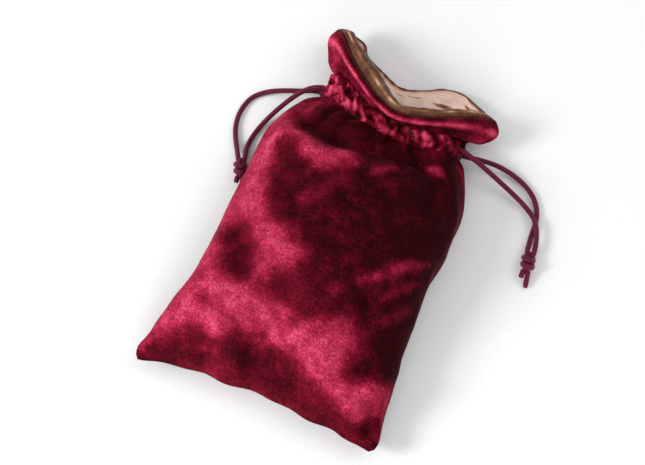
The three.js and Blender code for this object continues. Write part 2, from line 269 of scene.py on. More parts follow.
def cord_material(name):
    """Round satin cord: wine red, with painted highlights along its fine twisted strands."""
    shader = Shader(name, {
        "Roughness": 0.4, "Specular IOR Level": 0.3, "Specular Tint": (1, 0.35, 0.5, 1),
        "Sheen Weight": 0.05, "Sheen Tint": (0.95, 0.3, 0.45, 1),
    })
    # Painted highlights: pink bands along the twist, set by the way round the cord each point faces.
    wave = shader.texture("Wave", shader.attribute("twist", "Vector"), scale=2.4, distortion=0.6, detail=1.0)
    shader.paint(shader.ramp(wave, [
        (0.15, (0.02, 0.001, 0.004)), (0.6, (0.085, 0.004, 0.018)), (0.95, (0.26, 0.024, 0.07)),
    ]))
    shader.bump(wave, 0.35, 0.0002)
    return shader.material


def thread_material(name):
    shader = Shader(name, {"Roughness": 0.8})
    wave = shader.texture("Wave", scale=1500.0, distortion=2.0)
    shader.paint(shader.ramp(wave, [(0.0, (0.03, 0.001, 0.006)), (1.0, (0.09, 0.004, 0.02))]))
    return shader.material


velvet = velvet_material("velvet")
satin = satin_material("lining_satin")
satin_cord = cord_material("cord_satin")
thread = thread_material("thread")

# ---- Curves and grids ----


def smooth(t):
    t = np.clip(t, 0, 1)
    return t * t * (3 - 2 * t)


def bell(v, middle, width):
    return np.exp(-(((v - middle) / width) ** 2))


def unit(vectors):
    return vectors / np.linalg.norm(vectors, axis=-1, keepdims=True)


def keep_above(grid, lowest):
    grid[..., 2] = np.maximum(grid[..., 2], lowest)


def across_columns(grid, axis):
    """From the column before each one to the column after it."""
    return np.roll(grid, -1, axis=axis) - np.roll(grid, 1, axis=axis)


def between(a, b, c, d, t):
    """A share t of the way from b to c, on a smooth curve that comes from a and goes on to d."""
    return 0.5 * (2 * b + (c - a) * t + (2 * a - 5 * b + 4 * c - d) * t**2 + (3 * b - a - 3 * c + d) * t**3)


def spline(points, count, per_span=24):
    """count points, evenly spaced along a smooth curve through the given ones."""
    p = np.array(points, float)
    p = np.vstack([2 * p[0] - p[1], p, 2 * p[-1] - p[-2]])
    out = []
    for a, b, c, d in zip(p, p[1:], p[2:], p[3:]):
        out.extend(between(a, b, c, d, t) for t in np.arange(per_span) / per_span)
    out.append(p[-2])
    return resample(np.array(out), count)


def spline_rows(keys, count):
    """count + 1 rows along a smooth surface through rows of points."""
    keys = [2 * keys[0] - keys[1], *keys, 2 * keys[-1] - keys[-2]]
    for place in np.linspace(0, len(keys) - 3, count + 1):
        i = min(int(place), len(keys) - 4)
        yield between(*keys[i : i + 4], place - i)


def lengths_along(path):
    return np.concatenate([[0], np.cumsum(np.linalg.norm(np.diff(path, axis=0), axis=1))])


def resample(points, count):
    along = lengths_along(points)
    wanted = np.linspace(0, along[-1], count)
    return np.stack([np.interp(wanted, along, points[:, k]) for k in range(points.shape[1])], axis=1)


def through(keys):
    """A smooth function through (place, value) keys."""
    places, values = np.array(keys, float).T
    slopes = np.gradient(values, places)

    def value(x):
        x = np.clip(x, places[0], places[-1])
        i = np.clip(np.searchsorted(places, x, side="right") - 1, 0, len(places) - 2)
        span = places[i + 1] - places[i]
        t = (x - places[i]) / span
        return (
            (2 * t**3 - 3 * t**2 + 1) * values[i]
            + (t**3 - 2 * t**2 + t) * span * slopes[i]
            + (3 * t**2 - 2 * t**3) * values[i + 1]
            + (t**3 - t**2) * span * slopes[i + 1]
        )

    return value


def ring(front, back):
    """A closed ring of COLUMNS points: over the front from the right seam to the left, then back under."""
    over = spline(front, HALF + 1)
    under = spline([front[-1], *back, front[0]], HALF + 1)
    return np.vstack([over[:-1], under[:-1]])


# The rings that give the neck and mouth their shape, right seam first.
LOWER_ROW = ring(
    [
        (29.3, 48.2, 8), (25.5, 46.6, 12.4), (19.6, 43.6, 15.2), (10.9, 40.4, 16.8), (0, 41.0, 17),
        (-9.3, 43.2, 16.2), (-17.6, 46.4, 14.4), (-25.4, 50.2, 11.2), (-29.2, 51.6, 8),
    ],
    [(-26, 52.4, 3.4), (-14, 52.5, 1.2), (0, 52.2, 0.9), (14, 51.2, 1.2), (26, 49.2, 3.4)],
)
UPPER_ROW = ring(
    [
        (27.8, 58.4, 8.5), (21.8, 54.4, 13.4), (13.8, 51.1, 16.5), (4.9, 49.0, 17.6), (-7.2, 51.1, 17.2),
        (-15.4, 55.8, 15.4), (-24.4, 61.8, 12.2), (-28.4, 62.6, 8.5),
    ],
    [(-24.5, 62.8, 3.6), (-13, 62.6, 1.4), (0, 62.2, 1.0), (13, 61.0, 1.4), (24, 59.6, 3.6)],
)
LIP = ring(
    [
        (37.2, 67.4, 11.5), (32.4, 64.6, 16), (22.8, 57.2, 21.6), (13.2, 51.0, 25), (3.6, 48.3, 26.4),
        (-4.8, 51.4, 25.4), (-14.0, 58.4, 22), (-24.2, 68.0, 18.4), (-31.6, 76.6, 15.6), (-35.0, 79.6, 12),
    ],
    [
        (-33.2, 82.8, 8.4), (-28.6, 83.0, 5.6), (-23.6, 81.6, 4.6), (-20.8, 77.6, 4), (-12.3, 73.6, 3.4),
        (-3.4, 70.2, 3), (5.2, 73.0, 3), (12.4, 76.8, 3), (20.3, 77.6, 3.2), (26.4, 75.0, 4.2),
        (32.6, 71.2, 7),
    ],
)

# Half the width and the height of the body, by the distance from the bottom seam.
left_width = through([
    (0, 46.4), (1.6, 47.9), (4, 48.3), (8, 47.5), (16, 46.2), (26, 44.5), (36, 42.2), (56, 41.5), (76, 41.6),
    (96, 41.9), (107, 42), (112, 41.6), (120, 40), (127, 38),
])
right_width = through([
    (0, 45.4), (1.2, 46.9), (3, 47.5), (6, 47.5), (9, 46.9), (16, 45.8), (26, 44.4), (36, 43.0), (56, 41.6),
    (76, 41.5), (96, 41.2), (104, 39.8), (112, 38.6), (120, 36.6), (127, 34.6),
])
front_height = through([
    (0, 20), (12, 22.5), (24, 27), (44, 31.5), (61, 33), (90, 31.5), (106, 27.5), (118, 22.5), (127, 19),
])
FULLNESS = 2.6  # of a section; 2 is an ellipse
FRONT_ROUND = 22.0  # distance from the bottom over which the front and the back round off
BACK_ROUND = 9.0
BOTTOM_HOLLOW = 5.0  # the bottom seam curves in by this between its corners
HOLLOW_REACH = 62.0
CORNER_BLUNT = 1.6  # the right corner is drawn in by this


def rounding(distance, length):
    return np.sqrt(np.clip(1 - np.clip(1 - distance / length, 0, 1) ** 2, 0, 1))


def squared(value):
    """Makes a round section fuller."""
    return np.sign(value) * np.abs(value) ** (2 / FULLNESS)


def body_row(distance):
    """One section of the body at this distance from the bottom corners."""
    angle = np.linspace(0, math.pi, 181)
    height = (front_height(distance) - SEAM_Z) * rounding(distance, FRONT_ROUND)
    depth = (SEAM_Z - 0.2) * rounding(distance, BACK_ROUND)
    across = squared(np.cos(angle))
    x = np.where(across > 0, right_width(distance) * across, left_width(distance) * across)
    fade = np.clip(1 - distance / HOLLOW_REACH, 0, 1) ** 2
    hollow = BOTTOM_HOLLOW * (1 - across**2) + 0.5 * np.sin(0.21 * x + 1.2) - 0.4 * np.sin(0.37 * x)
    blunt = CORNER_BLUNT * smooth((x - 33) / 9)
    y = BOTTOM_Y + 1.0 + distance + (hollow + blunt) * fade
    rise = squared(np.sin(angle))
    over = resample(np.stack([x, y, SEAM_Z + height * rise], axis=1), HALF + 1)
    under_z = SEAM_Z - depth * np.minimum(rise * 1.12, 1)
    under = resample(np.stack([x, y, under_z], axis=1)[::-1], HALF + 1)
    return np.vstack([over[:-1], under[:-1]])


def body_grid():
    rows = []
    last = bag_high[1] - BOTTOM_Y + 0.2
    for j in range(BODY_ROWS + 1):
        distance = last * j / BODY_ROWS
        share = np.clip((distance - (last - NECK_TAPER)) / NECK_TAPER, 0, 1) ** 3.2
        rows.append((1 - share) * body_row(distance) + share * LOWER_ROW)
    return np.array(rows)


def casing_grid():
    v = np.linspace(0, 1, CASING_ROWS + 1)[:, None, None]
    return (1 - v) * LOWER_ROW + v * UPPER_ROW


def mouth_shares():
    """How far each column belongs to the front, the back, and the left and right ears of the mouth."""
    angle = (2 * math.pi * np.arange(COLUMNS) / COLUMNS)[:, None]
    front = np.clip(np.sin(angle), 0, 1) ** 0.6
    back = np.clip(-np.sin(angle), 0, 1) ** 0.6
    side = 1 - front - back
    return front, back, side * (np.cos(angle) < 0), side * (np.cos(angle) > 0)


def header_grid():
    """From the upper row of stitches to the edge of the mouth; the front rolls up and over."""

    def pull(*moves):
        return sum(share * np.array(move) for share, move in zip(mouth_shares(), moves))

    start = pull((0, -3.2, 5.5), (0, 6.0, 0.0), (-5.5, 2.0, 1.0), (8.0, -7.5, 1.0))
    end = pull((0, -4.6, 0.8), (0, -5.0, -1.6), (-3.0, -7.0, -1.0), (6.0, -6.5, -1.5))
    rows = []
    for v in np.linspace(0, 1, HEADER_ROWS + 1):
        a, b, c, d = (1 - v) ** 3, 3 * v * (1 - v) ** 2, 3 * v * v * (1 - v), v**3
        rows.append(a * UPPER_ROW + b * (UPPER_ROW + start) + c * (LIP + end) + d * LIP)
    return np.array(rows)


def grid_normals(grid):
    """Outward normals of a grid that closes round the columns."""
    normals = np.cross(np.gradient(grid, axis=0), across_columns(grid, 1))
    length = np.linalg.norm(normals, axis=2, keepdims=True)
    return normals / np.maximum(length, 1e-6)


# ---- Folds and gathers ----

PLEATS = 30
PLEAT_JITTER = 0.7
LINE_POINTS = 40  # along a fold or a brush stroke


def pleat_phase(count, jitter):
    """A phase that runs through count uneven pleats round the bag, and a strength for each."""
    widths = 1 + jitter * rng.uniform(-1, 1, count)
    edges = np.concatenate([[0], np.cumsum(widths)]) / widths.sum()
    strengths = rng.uniform(0.45, 1.0, count + 1)
    strengths[-1] = strengths[0]
    places = np.arange(COLUMNS) / COLUMNS
    phase = np.interp(places, edges, np.arange(count + 1))
    return phase, np.interp(places, edges, strengths)


def rounded_pleats(phase):
    """0 in the sharp valleys between pleats, 1 on their round ridges."""
    return np.abs(np.sin(math.pi * phase)) ** 0.8


def noise_field(points, scale, seed):
    flat = points.reshape(-1, 3)
    shift = Vector((seed * 13.7, seed * 5.1, seed * 9.3))
    values = [noise.noise(Vector(p) / scale + shift) for p in flat]
    return np.array(values).reshape(points.shape[:-1])


def distances_to(points, route):
    """From each point, seen from above, to each point of a line."""
    line = spline([(*p, 0) for p in route], LINE_POINTS)[:, :2]
    return np.linalg.norm(points[..., None, :2] - line, axis=-1)


def crease(points, route, width):
    """1 on the line of a crease seen from above, falling to 0 about two widths from it."""
    return np.exp(-0.5 * (distances_to(points, route).min(axis=-1) / width) ** 2)


# Folds of the front: height (negative for a valley), width, and its line across the front.
FOLDS = [
    (3.2, 4.2, (-31, 26), (-24, 22.5), (-15, 19.5), (-5, 21.5)),
    (-5.0, 5.0, (-27, 32), (-14, 30), (0, 31.5), (12, 34), (18, 37)),
    (1.4, 5.0, (-8, 2.5), (-1, 10), (7, 19), (12, 27)),
    (-4.2, 5.0, (-32, -22), (-27, -28), (-23, -33)),
    (-3.6, 5.0, (28, -53), (34, -48), (40, -41)),
    (2.6, 2.6, (22, -22), (29, -14), (38, -5)),
    (-3.0, 3.4, (24, -26), (31, -20), (39, -12)),
    (2.0, 2.6, (30, -26), (36, -18), (39, -13)),
    (-3.0, 3.4, (29, -39), (35, -31), (41, -24)),
    (1.6, 2.4, (33, -33), (36, -27), (40, -22)),
    (-3.6, 3.0, (20, 37), (25, 32), (29, 27), (31, 19)),
    (2.0, 3.0, (28, 37), (33, 31), (36, 24)),
    (2.2, 3.6, (-27, -66), (-20, -60), (-13, -64)),
    (-3.0, 3.6, (-40, -69), (-30, -63), (-24, -61)),
    (-3.2, 6.0, (-14, -61), (-2, -59.5), (9, -62)),
    (-3.6, 2.4, (40, -74), (43, -68), (44, -62)),
    (1.8, 2.2, (46.5, -72), (47, -66), (46, -60)),
]
# How the pile of the front is brushed, with painted light: a value, a half width and a line. 1 lies over and
# shines as a painted highlight on the ridges of the folds and on slopes towards the key light; negative
# stands up and is painted shade along the valleys of the folds.
PAINTED_SHEEN_AND_NAP = [
    (0.95, 9, (-36, 30), (-35, 14), (-34, 3), (-31, -8), (-25, -16), (-17, -22), (-11, -26)),
    (0.9, 9, (-37, -10), (-36, -20), (-37, -30), (-36, -38), (-37, -46), (-39, -54), (-41, -62)),
    (0.75, 9, (-30, -40), (-22, -36), (-16, -30)),
    (1.0, 9, (-32, -43), (-24, -45), (-16, -47), (-8, -50), (0, -52), (8, -52), (16, -50), (22, -45)),
    (1.0, 9, (11, -53), (17, -57), (22, -60), (29, -62), (36, -64)),
    (1.05, 8, (19, -49), (22, -54), (26, -60), (34, -61), (41, -56)),
    (1.25, 4.5, (45, -48), (46, -60), (48, -70)),
    (0.95, 6, (-41, -58), (-34, -55), (-24, -56), (-19, -57)),
    (0.6, 4, (-27, -65), (-17, -64)),
    (0.7, 3, (-47, -73), (-43, -66)),
    (1.05, 7, (-30, 26.5), (-24, 22.5), (-18, 19.5), (-12, 19), (-6, 21.5)),
    (0.85, 2.6, (4, 16), (9, 22), (14, 26.5)),
    (0.5, 4.5, (11, -28), (13, -32)),
    (0.85, 2.7, (19, -24), (25, -19), (31, -11.5), (39, -4)),
    (0.7, 2.2, (28, -27), (33, -19), (39, -11)),
    (0.6, 2.2, (32, -35), (36, -27), (40, -20)),
    (1.0, 3.2, (30, 43), (35, 40), (39, 35), (41, 28), (41, 20)),
    (0.8, 3.0, (21, 36), (25, 33.5), (29, 32)),
    (0.8, 5.0, (-31, 42), (-33, 36), (-37, 30)),
    (0.35, 4.5, (-14, -5), (-8, 3), (-1, 11)),
    (0.3, 5.0, (-6, 20), (1, 27)),
    (0.42, 6.0, (-26, -74), (-15, -73), (-4, -73.5), (6, -74), (16, -75), (24, -75)),
    (0.3, 8.0, (-5, -34), (4, -38), (12, -40)),
    (-0.8, 6.5, (-31, -23), (-27, -28), (-24, -33)),
    (-0.75, 5.0, (31, -52), (36, -48), (41, -41)),
    (-0.7, 5.0, (-28, 17), (-27, 8), (-23, -2), (-18, -9)),
    (-0.9, 3.2, (40, -73), (43, -68), (44, -62)),
    (-0.7, 4.5, (-44, -71.5), (-38, -69.5), (-32, -64), (-26, -61)),
    (-0.7, 5.6, (-15, -61), (-4, -60.5), (4, -61), (9, -63.5)),
    (-0.7, 5.0, (16, -66), (23, -68.5), (30, -71), (36, -74)),
    (-0.5, 6.0, (-27, 33), (-19, 30), (-11, 30), (-2, 33), (5, 31)),
    (-0.6, 3.5, (20, 31), (26, 26), (31, 20)),
]


def brushed_nap_and_sheen(points, facing_up):
    """The pile of the velvet at each point of the front, with its painted highlights and painted shade, with
    soft uneven edges.
    """
    line_noise = 2.4 * noise_field(points, 5.0, 11) + 1.4 * noise_field(points, 2.4, 12)
    painted_highlight = np.zeros(points.shape[:2])
    painted_shade = np.zeros(points.shape[:2])
    for value, width, *route in PAINTED_SHEEN_AND_NAP:
        distances = distances_to(points, route)
        along = distances.argmin(axis=-1) / (LINE_POINTS - 1)
        taper = 0.25 + 0.75 * np.sin(math.pi * along) ** 0.7 if width < 5 else 1.0
        here = width * taper
        reach = 1.6 * here - distances.min(axis=-1) - line_noise * min(1.0, width / 6)
        cover = smooth(reach / (1.25 * here + 0.8))
        if value > 0:
            painted_highlight = np.maximum(painted_highlight, value * cover)
        else:
            painted_shade = np.maximum(painted_shade, -value * cover)
    # Painted highlights and painted shade only on faces that look up; faces that look sideways or down get a
    # random tone.
    underneath = 0.34 + 0.75 * noise_field(points, 17, 13)
    share = smooth((facing_up + 0.05) / 0.35)
    return share * painted_highlight * (1 - painted_shade) + (1 - share) * underneath


def fold_body(grid):
    """Adds the folds, the gathers below the casing and small unevenness to the plain body."""
    normals = grid_normals(grid)
    normals[0] = normals[1]
    upward = np.clip(normals[..., 2], 0, 1)
    offset = np.zeros(grid.shape[:2])
    for height, width, *route in FOLDS:
        offset += height * crease(grid, route, width) * upward
    rows = np.linspace(0, 1, len(grid))[:, None]
    to_casing = (1 - rows) * BODY_CLOTH
    phase, strength = GATHERS
    sway = 1.1 * noise_field(grid, 13, 3)
    reach = 7.5 + 7 * noise_field(grid * np.array([1, 0, 0]), 9, 21)
    pleats = rounded_pleats(phase + sway * np.clip(to_casing / 14, 0, 1)) - 0.5
    offset += 2.4 * strength * pleats * np.exp(-to_casing / np.maximum(reach, 3.5))
    wide = np.cos(math.pi * (phase + sway))
    offset += 1.5 * strength * wide * np.exp(-to_casing / 20) * (1 - np.exp(-to_casing / 6))
    offset += 1.1 * noise_field(grid, 17, 1) + 0.4 * noise_field(grid, 7, 2)
    fade = smooth(rows * BODY_CLOTH / 5)
    return grid + normals * (offset * fade)[..., None]


def gather_casing(grid):
    """Crumples the band of cloth round the cords into uneven puffs."""
    normals = grid_normals(grid)
    around = unit(across_columns(grid, 1))
    v = np.linspace(0, 1, len(grid))[:, None]
    phase, strength = GATHERS
    middle = np.sin(math.pi * v)
    drift = 1.5 * noise_field(grid, 7, 4) * middle + 0.35 * noise_field(grid, 4, 14)
    pleats = rounded_pleats(phase + drift) - 0.5
    crumple = noise_field(grid, 3.6, 5)
    ridged = 0.5 - np.abs(noise_field(grid, 5.5, 15)) * 2
    puff = 1.9 * middle**0.7
    offset = puff + 2.3 * strength * pleats + (2.3 * crumple + 1.6 * ridged) * middle
    lean = 0.9 * noise_field(grid, 4.5, 16) * middle
    return grid + normals * offset[..., None] + around * lean[..., None]


def gather_header(grid):
    """Gathers at the upper stitches, and a soft roll along the edge of the mouth."""
    normals = grid_normals(grid)
    front, back, left, right = (share[:, 0] for share in mouth_shares())
    v = np.linspace(0, 1, len(grid))[:, None]
    phase, strength = GATHERS
    pleats = rounded_pleats(phase + 0.3 * noise_field(grid, 12, 6) * v) - 0.5
    offset = 2.4 * strength * pleats * (1 - v) ** 2
    roll = bell(v, 0.78, 0.13)
    groove = bell(v, 0.46, 0.12)
    offset += (0.5 + 0.5 * front) * 1.7 * roll - (front + 0.3 * (left + right)) * 1.2 * groove
    offset += 0.6 * noise_field(grid, 9, 7) * v * (1.3 - v)
    return grid + normals * offset[..., None]


GATHERS = pleat_phase(PLEATS, PLEAT_JITTER)

# ---- The body's cloth, swollen and settled ----

SETTLE_EASE = 1.06  # the cloth is this much wider than its flat panels
SETTLE_GROWTH = 1.14  # and at most this much wider than its outline
SETTLE_HOLD = 0.004  # how firmly the middle of the cloth is held in place
SETTLE_FRAMES = 20
SETTLE_CAP = 4.0  # no point goes further than this
CLOTH = dict(
    quality=5, mass=0.03, tension_stiffness=30, compression_stiffness=30, bending_stiffness=0.2,
    vertex_group_mass="pins", pin_stiffness=0.6, use_pressure=True, uniform_pressure_force=2.5,
)


def cloth_mesh(grid):
    """A closed mesh of the grid; the back half of its first row shares the points of the front half."""
    rows, columns = grid.shape[:2]

    def at(r, c):
        return columns - c if r == 0 and HALF < c < columns else r * columns + c

    faces = []
    for r in range(rows - 1):
        for c in range(columns):
            k = (c + 1) % columns
            faces.append((at(r, c), at(r + 1, c), at(r + 1, k), at(r, k)))
    mesh = bpy.data.meshes.new("settling")
    mesh.from_pydata([tuple(p) for p in grid.reshape(-1, 3) * MM], [], faces)
    return mesh


def settle(grid):
    """Lets the gathered cloth find its own wrinkles in a short cloth simulation."""
    rows, columns = grid.shape[:2]
    mesh = cloth_mesh(grid)
    cloth_object = in_scene("settling", mesh)
    steps = np.linalg.norm(np.roll(grid, -1, axis=1) - grid, axis=2).sum(axis=1)
    growth = np.clip(2 * FLAT_WIDTH * SETTLE_EASE / steps, 1.0, SETTLE_GROWTH)[:, None, None]
    center = grid.mean(axis=1, keepdims=True)
    cloth_object.shape_key_add(name="Basis")
    flat = cloth_object.shape_key_add(name="flat")
    flat.data.foreach_set("co", ((center + (grid - center) * growth) * MM).ravel())
    flat.value = 0
    pins = cloth_object.vertex_groups.new(name="pins")
    row_place = np.arange(rows) / (rows - 1)
    at_neck = smooth((row_place - 0.93) / 0.07)
    at_bottom = smooth((0.04 - row_place) / 0.04)
    held = np.maximum(SETTLE_HOLD, np.maximum(at_neck, at_bottom))
    for r in range(rows):
        pins.add(list(range(r * columns, (r + 1) * columns)), float(held[r]), "REPLACE")
    modifier = cloth_object.modifiers.new("cloth", "CLOTH")
    for key, value in CLOTH.items():
        setattr(modifier.settings, key, value)
    modifier.settings.rest_shape_key = flat
    modifier.settings.effector_weights.gravity = 0
    modifier.collision_settings.use_collision = False
    modifier.point_cache.frame_start = 1
    modifier.point_cache.frame_end = SETTLE_FRAMES
    scene = bpy.context.scene
    for step in range(1, SETTLE_FRAMES + 1):
        scene.frame_set(step)
    shaped = cloth_object.evaluated_get(bpy.context.evaluated_depsgraph_get())
    found = np.empty(grid.size)
    shaped.data.vertices.foreach_get("co", found)
    found = found.reshape(grid.shape) / MM
    found[0, HALF + 1 :] = found[0, HALF - 1 : 0 : -1]
    scene.frame_set(1)
    bpy.data.objects.remove(cloth_object)
    bpy.data.meshes.remove(mesh)
    move = found - grid
    length = np.linalg.norm(move, axis=2, keepdims=True)
    return grid + move * np.minimum(1, SETTLE_CAP / np.maximum(length, 1e-6))


# ---- Making meshes ----


def mesh_object(name, vertices, faces, material):
    mesh = bpy.data.meshes.new(name)
    vertices = np.array(vertices, float)
    keep_above(vertices, ON_TABLE)
    mesh.from_pydata([tuple(p) for p in vertices * MM], [], faces)
    mesh.validate()
    mesh.shade_smooth()
    mesh.materials.append(material)
    return in_scene(name, mesh)


def sleeve(rings, sides):
    """The faces round a row of rings that have this many sides."""
    pairs = [(j, (j + 1) % sides) for j in range(sides)]
    starts = range(0, (rings - 1) * sides, sides)
    return [(i + j, i + k, i + sides + k, i + sides + j) for i in starts for j, k in pairs]


def tube(name, path, radius, material, sides=12, cap_round=0.0):
    """A round tube along path (mm), with its ends closed and rounded off by cap_round."""
    path = np.asarray(path, float)
    tangents = unit(np.gradient(path, axis=0))
    side = unit(np.cross(tangents[0], UP))
    radii = np.broadcast_to(np.asarray(radius, float), (len(path),))
    angles = 2 * math.pi * np.arange(sides) / sides
    circle = np.stack([np.cos(angles), np.sin(angles)], axis=1)
    rings = []
    for point, tangent, r in zip(path, tangents, radii):
        side = unit(side - tangent * (side @ tangent))
        rings.append(point + r * (circle @ np.array([side, np.cross(tangent, side)])))
    vertices = list(np.vstack(rings))
    faces = sleeve(len(path), sides)
    for end, first, out in ((0, 0, -1), (-1, (len(path) - 1) * sides, 1)):
        vertices.append(path[end] + out * tangents[end] * cap_round)
        tip = len(vertices) - 1
        for j in range(sides):
            pair = (first + j, first + (j + 1) % sides)
            faces.append((*pair[::out], tip))
    obj = mesh_object(name, vertices, faces, material)
    twist = np.zeros((len(vertices), 3))
    twist[: len(path) * sides, 0] = np.repeat(lengths_along(path) * 0.9, sides)
    twist[: len(path) * sides, 1:] = np.tile(circle, (len(path), 1))
    attribute = obj.data.attributes.new("twist", "FLOAT_VECTOR", "POINT")
    attribute.data.foreach_set("vector", twist.astype(np.float32).ravel())
    return obj


def join(pieces):
    """Joins pieces into the first of them."""
    first = pieces[0]
    with bpy.context.temp_override(
        active_object=first, object=first, selected_objects=pieces, selected_editable_objects=pieces
    ):
        bpy.ops.object.join()
    return first


def stand_for(piece, slot, *replaced):
    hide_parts(*replaced)


def ride_for(piece, body, slot, *replaced):
    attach(piece, body)
    stand_for(piece, slot, *replaced)


# ---- Cords ----

LEFT_EXIT = np.array((-30.9, 54.2, 0.0))
RIGHT_EXIT = np.array((30.9, 51.0, 0.0))

# Points out from the slit, along the bag from the exit, and up from the table.
STRANDS = {
    ("left", "outer"): [
        (0, 0, 6.0), (3.6, -0.6, 5.4), (7.6, -1.8, 4.3), (11.2, -2.8, 3.4), (15, -4, 2.6),
        (19.2, -5.7, 1.7), (22.8, -8.2, 1.1), (25.2, -11.4, 1.05), (26.4, -15.6, 1.05),
        (26.5, -20.6, 1.05), (25.4, -25.6, 1.05), (23.2, -30.2, 1.2), (20.6, -34.4, 2.0),
        (18.2, -38.3, 3.0),
    ],
    ("left", "inner"): [
        (0, 0, 10.0), (3.4, -1.7, 9.6), (6.8, -4.6, 8.3), (10.3, -9, 6.0), (13.6, -14.5, 3.6),
        (16.2, -20.6, 1.8), (17.5, -26.4, 1.1), (17.5, -31.4, 1.5), (16.6, -35, 2.4),
        (15.8, -37.4, 3.0),
    ],
    ("right", "outer"): [
        (0, 0, 6.0), (3.2, 0.6, 5.8), (7, 1.6, 5.1), (11.6, 2.5, 4.0), (16.3, 2.7, 2.8),
        (21, 2.1, 1.7), (25.6, 0.5, 1.1), (29.4, -1.9, 1.05), (32.2, -4.8, 1.05),
        (34.1, -8, 1.05), (35.2, -11.4, 1.05), (35.7, -15, 1.05), (36, -18.6, 1.15),
        (36.5, -22.2, 1.9), (37.1, -25.9, 3.0),
    ],
    ("right", "inner"): [
        (0, 0, 10.0), (3.3, -0.9, 9.4), (7.6, -1.7, 8.1), (12.4, -2.8, 6.4), (17.4, -4.1, 4.7),
        (22.4, -5.5, 3.1), (27, -7.2, 2.1), (30.9, -9.3, 1.9), (33.8, -11.7, 2.7),
        (35.8, -14.3, 3.4), (37.4, -17.3, 3.4), (38.7, -21, 3.2), (39.7, -25.5, 3.0),
    ],
}
# The middle of each knot, given in the same way, the way its tails point, and their lengths.
KNOTS = {
    "left": dict(at=(15.5, -41.9, 3.0), heading=(-0.34, -0.94), tails=(2.6, 1.6)),
    "right": dict(at=(39.0, -30.0, 3.0), heading=(0.15, -0.99), tails=(5.2, 2.2)),
}
KNOT_LENGTH = 8.0
KNOT_TURNS = 1.9
SLIT_RUN = 6.6  # how far the two runs of a cord reach into the casing
LOOP_GAP = 0.05  # the runs start this far from the free strands
RUN_HEIGHTS = ((6.0, 5.4), (10.0, 10.4))  # each run at the slit, and further in
RING_LANES = {"left": 0.66, "right": 0.38}  # each cord's place between the two rows of stitches
SIDES = {"left": -1, "right": 1}


def laid_out(points, side):
    out = np.array(points, float)
    out[:, 0] *= side
    return out + (LEFT_EXIT if side < 0 else RIGHT_EXIT)


def knot_place(side):
    """The middle of a knot, the way its tails point, and the level direction across it."""
    facts = KNOTS[side]
    heading = unit(np.array((SIDES[side] * facts["heading"][0], facts["heading"][1], 0)))
    return laid_out([facts["at"]], SIDES[side])[0], heading, np.array((-heading[1], heading[0], 0))


def add_strand(side, position):
    """One free end of a cord, from the slit to the knot."""
    sign = SIDES[side]
    route = laid_out(STRANDS[side, position], sign)
    middle, heading, across = knot_place(side)
    beside = 0.6 if (route[-1] - middle) @ across > 0 else -0.6
    path = spline([*route, middle - 1.6 * heading + beside * across], 68)
    strand = tube(f"cord_{side}_{position}", path, CORD / 2, satin_cord, cap_round=0.3)
    stand_for(strand, "cord_satin", f"{side}_{position}_strand")
    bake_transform(strand)


def add_tail(side, number, length):
    """A short cut end of a cord, past its knot."""
    middle, heading, across = knot_place(side)
    apart = 1 if number == 1 else -1
    start = middle + (KNOT_LENGTH / 2 - 0.4) * heading + apart * 0.9 * across
    shares = np.linspace(0, 1, 9)
    path = []
    for share in shares:
        point = start + (length + 0.7) * share * heading + apart * 0.4 * share * across
        point[2] = max(middle[2] - 0.42 * length * share, CORD / 2 + 0.1)
        path.append(point)
    radii = np.interp(shares, [0, 0.8, 1], [1.0, 1.0, 0.86])
    tail = tube(f"cord_tail_{side}_{number}", path, radii, satin_cord, cap_round=0.12)
    ride_for(tail, f"{side}_tail", "cord_satin", f"{side}_tail_{number}")
    return tail


def add_knot(side):
    """An overhand knot tied in both strands at once: two turns round the pair, drawn tight."""
    middle, heading, across = knot_place(side)
    turns = []
    for t in np.linspace(0, 1, 81):
        angle = math.radians(-70) + 2 * math.pi * KNOT_TURNS * t
        swell = 1.62 - 0.45 * (2 * t - 1) ** 2
        along = -2.5 + 5.0 * t + 1.5 * math.sin(angle + 0.6)
        ring_point = 1.15 * math.cos(angle) * across + math.sin(angle) * UP
        turns.append(middle + along * heading + swell * ring_point)
    pieces = [tube(f"knot_{side}", turns, 1.2, satin_cord, sides=14, cap_round=0.6)]
    for twist in (-1, 1):
        core = [
            middle + s * heading
            + twist * (0.75 * across * math.cos(0.35 * s) + 0.45 * UP * math.sin(0.35 * s))
            for s in np.linspace(-KNOT_LENGTH / 2, KNOT_LENGTH / 2, 24)
        ]
        pieces.append(tube(f"core_{side}", core, 1.0, satin_cord, cap_round=0.2))
    knot = join(pieces)
    ride_for(knot, f"{side}_tail", "cord_satin", f"{side}_knot")
    return knot


def add_cord(side):
    """A cord outside the bag: its knot, the tails past the knot, and the two free strands."""
    on_cord = [add_knot(side)]
    for number, length in enumerate(KNOTS[side]["tails"], 1):
        on_cord.append(add_tail(side, number, length))
    for position in ("outer", "inner"):
        add_strand(side, position)


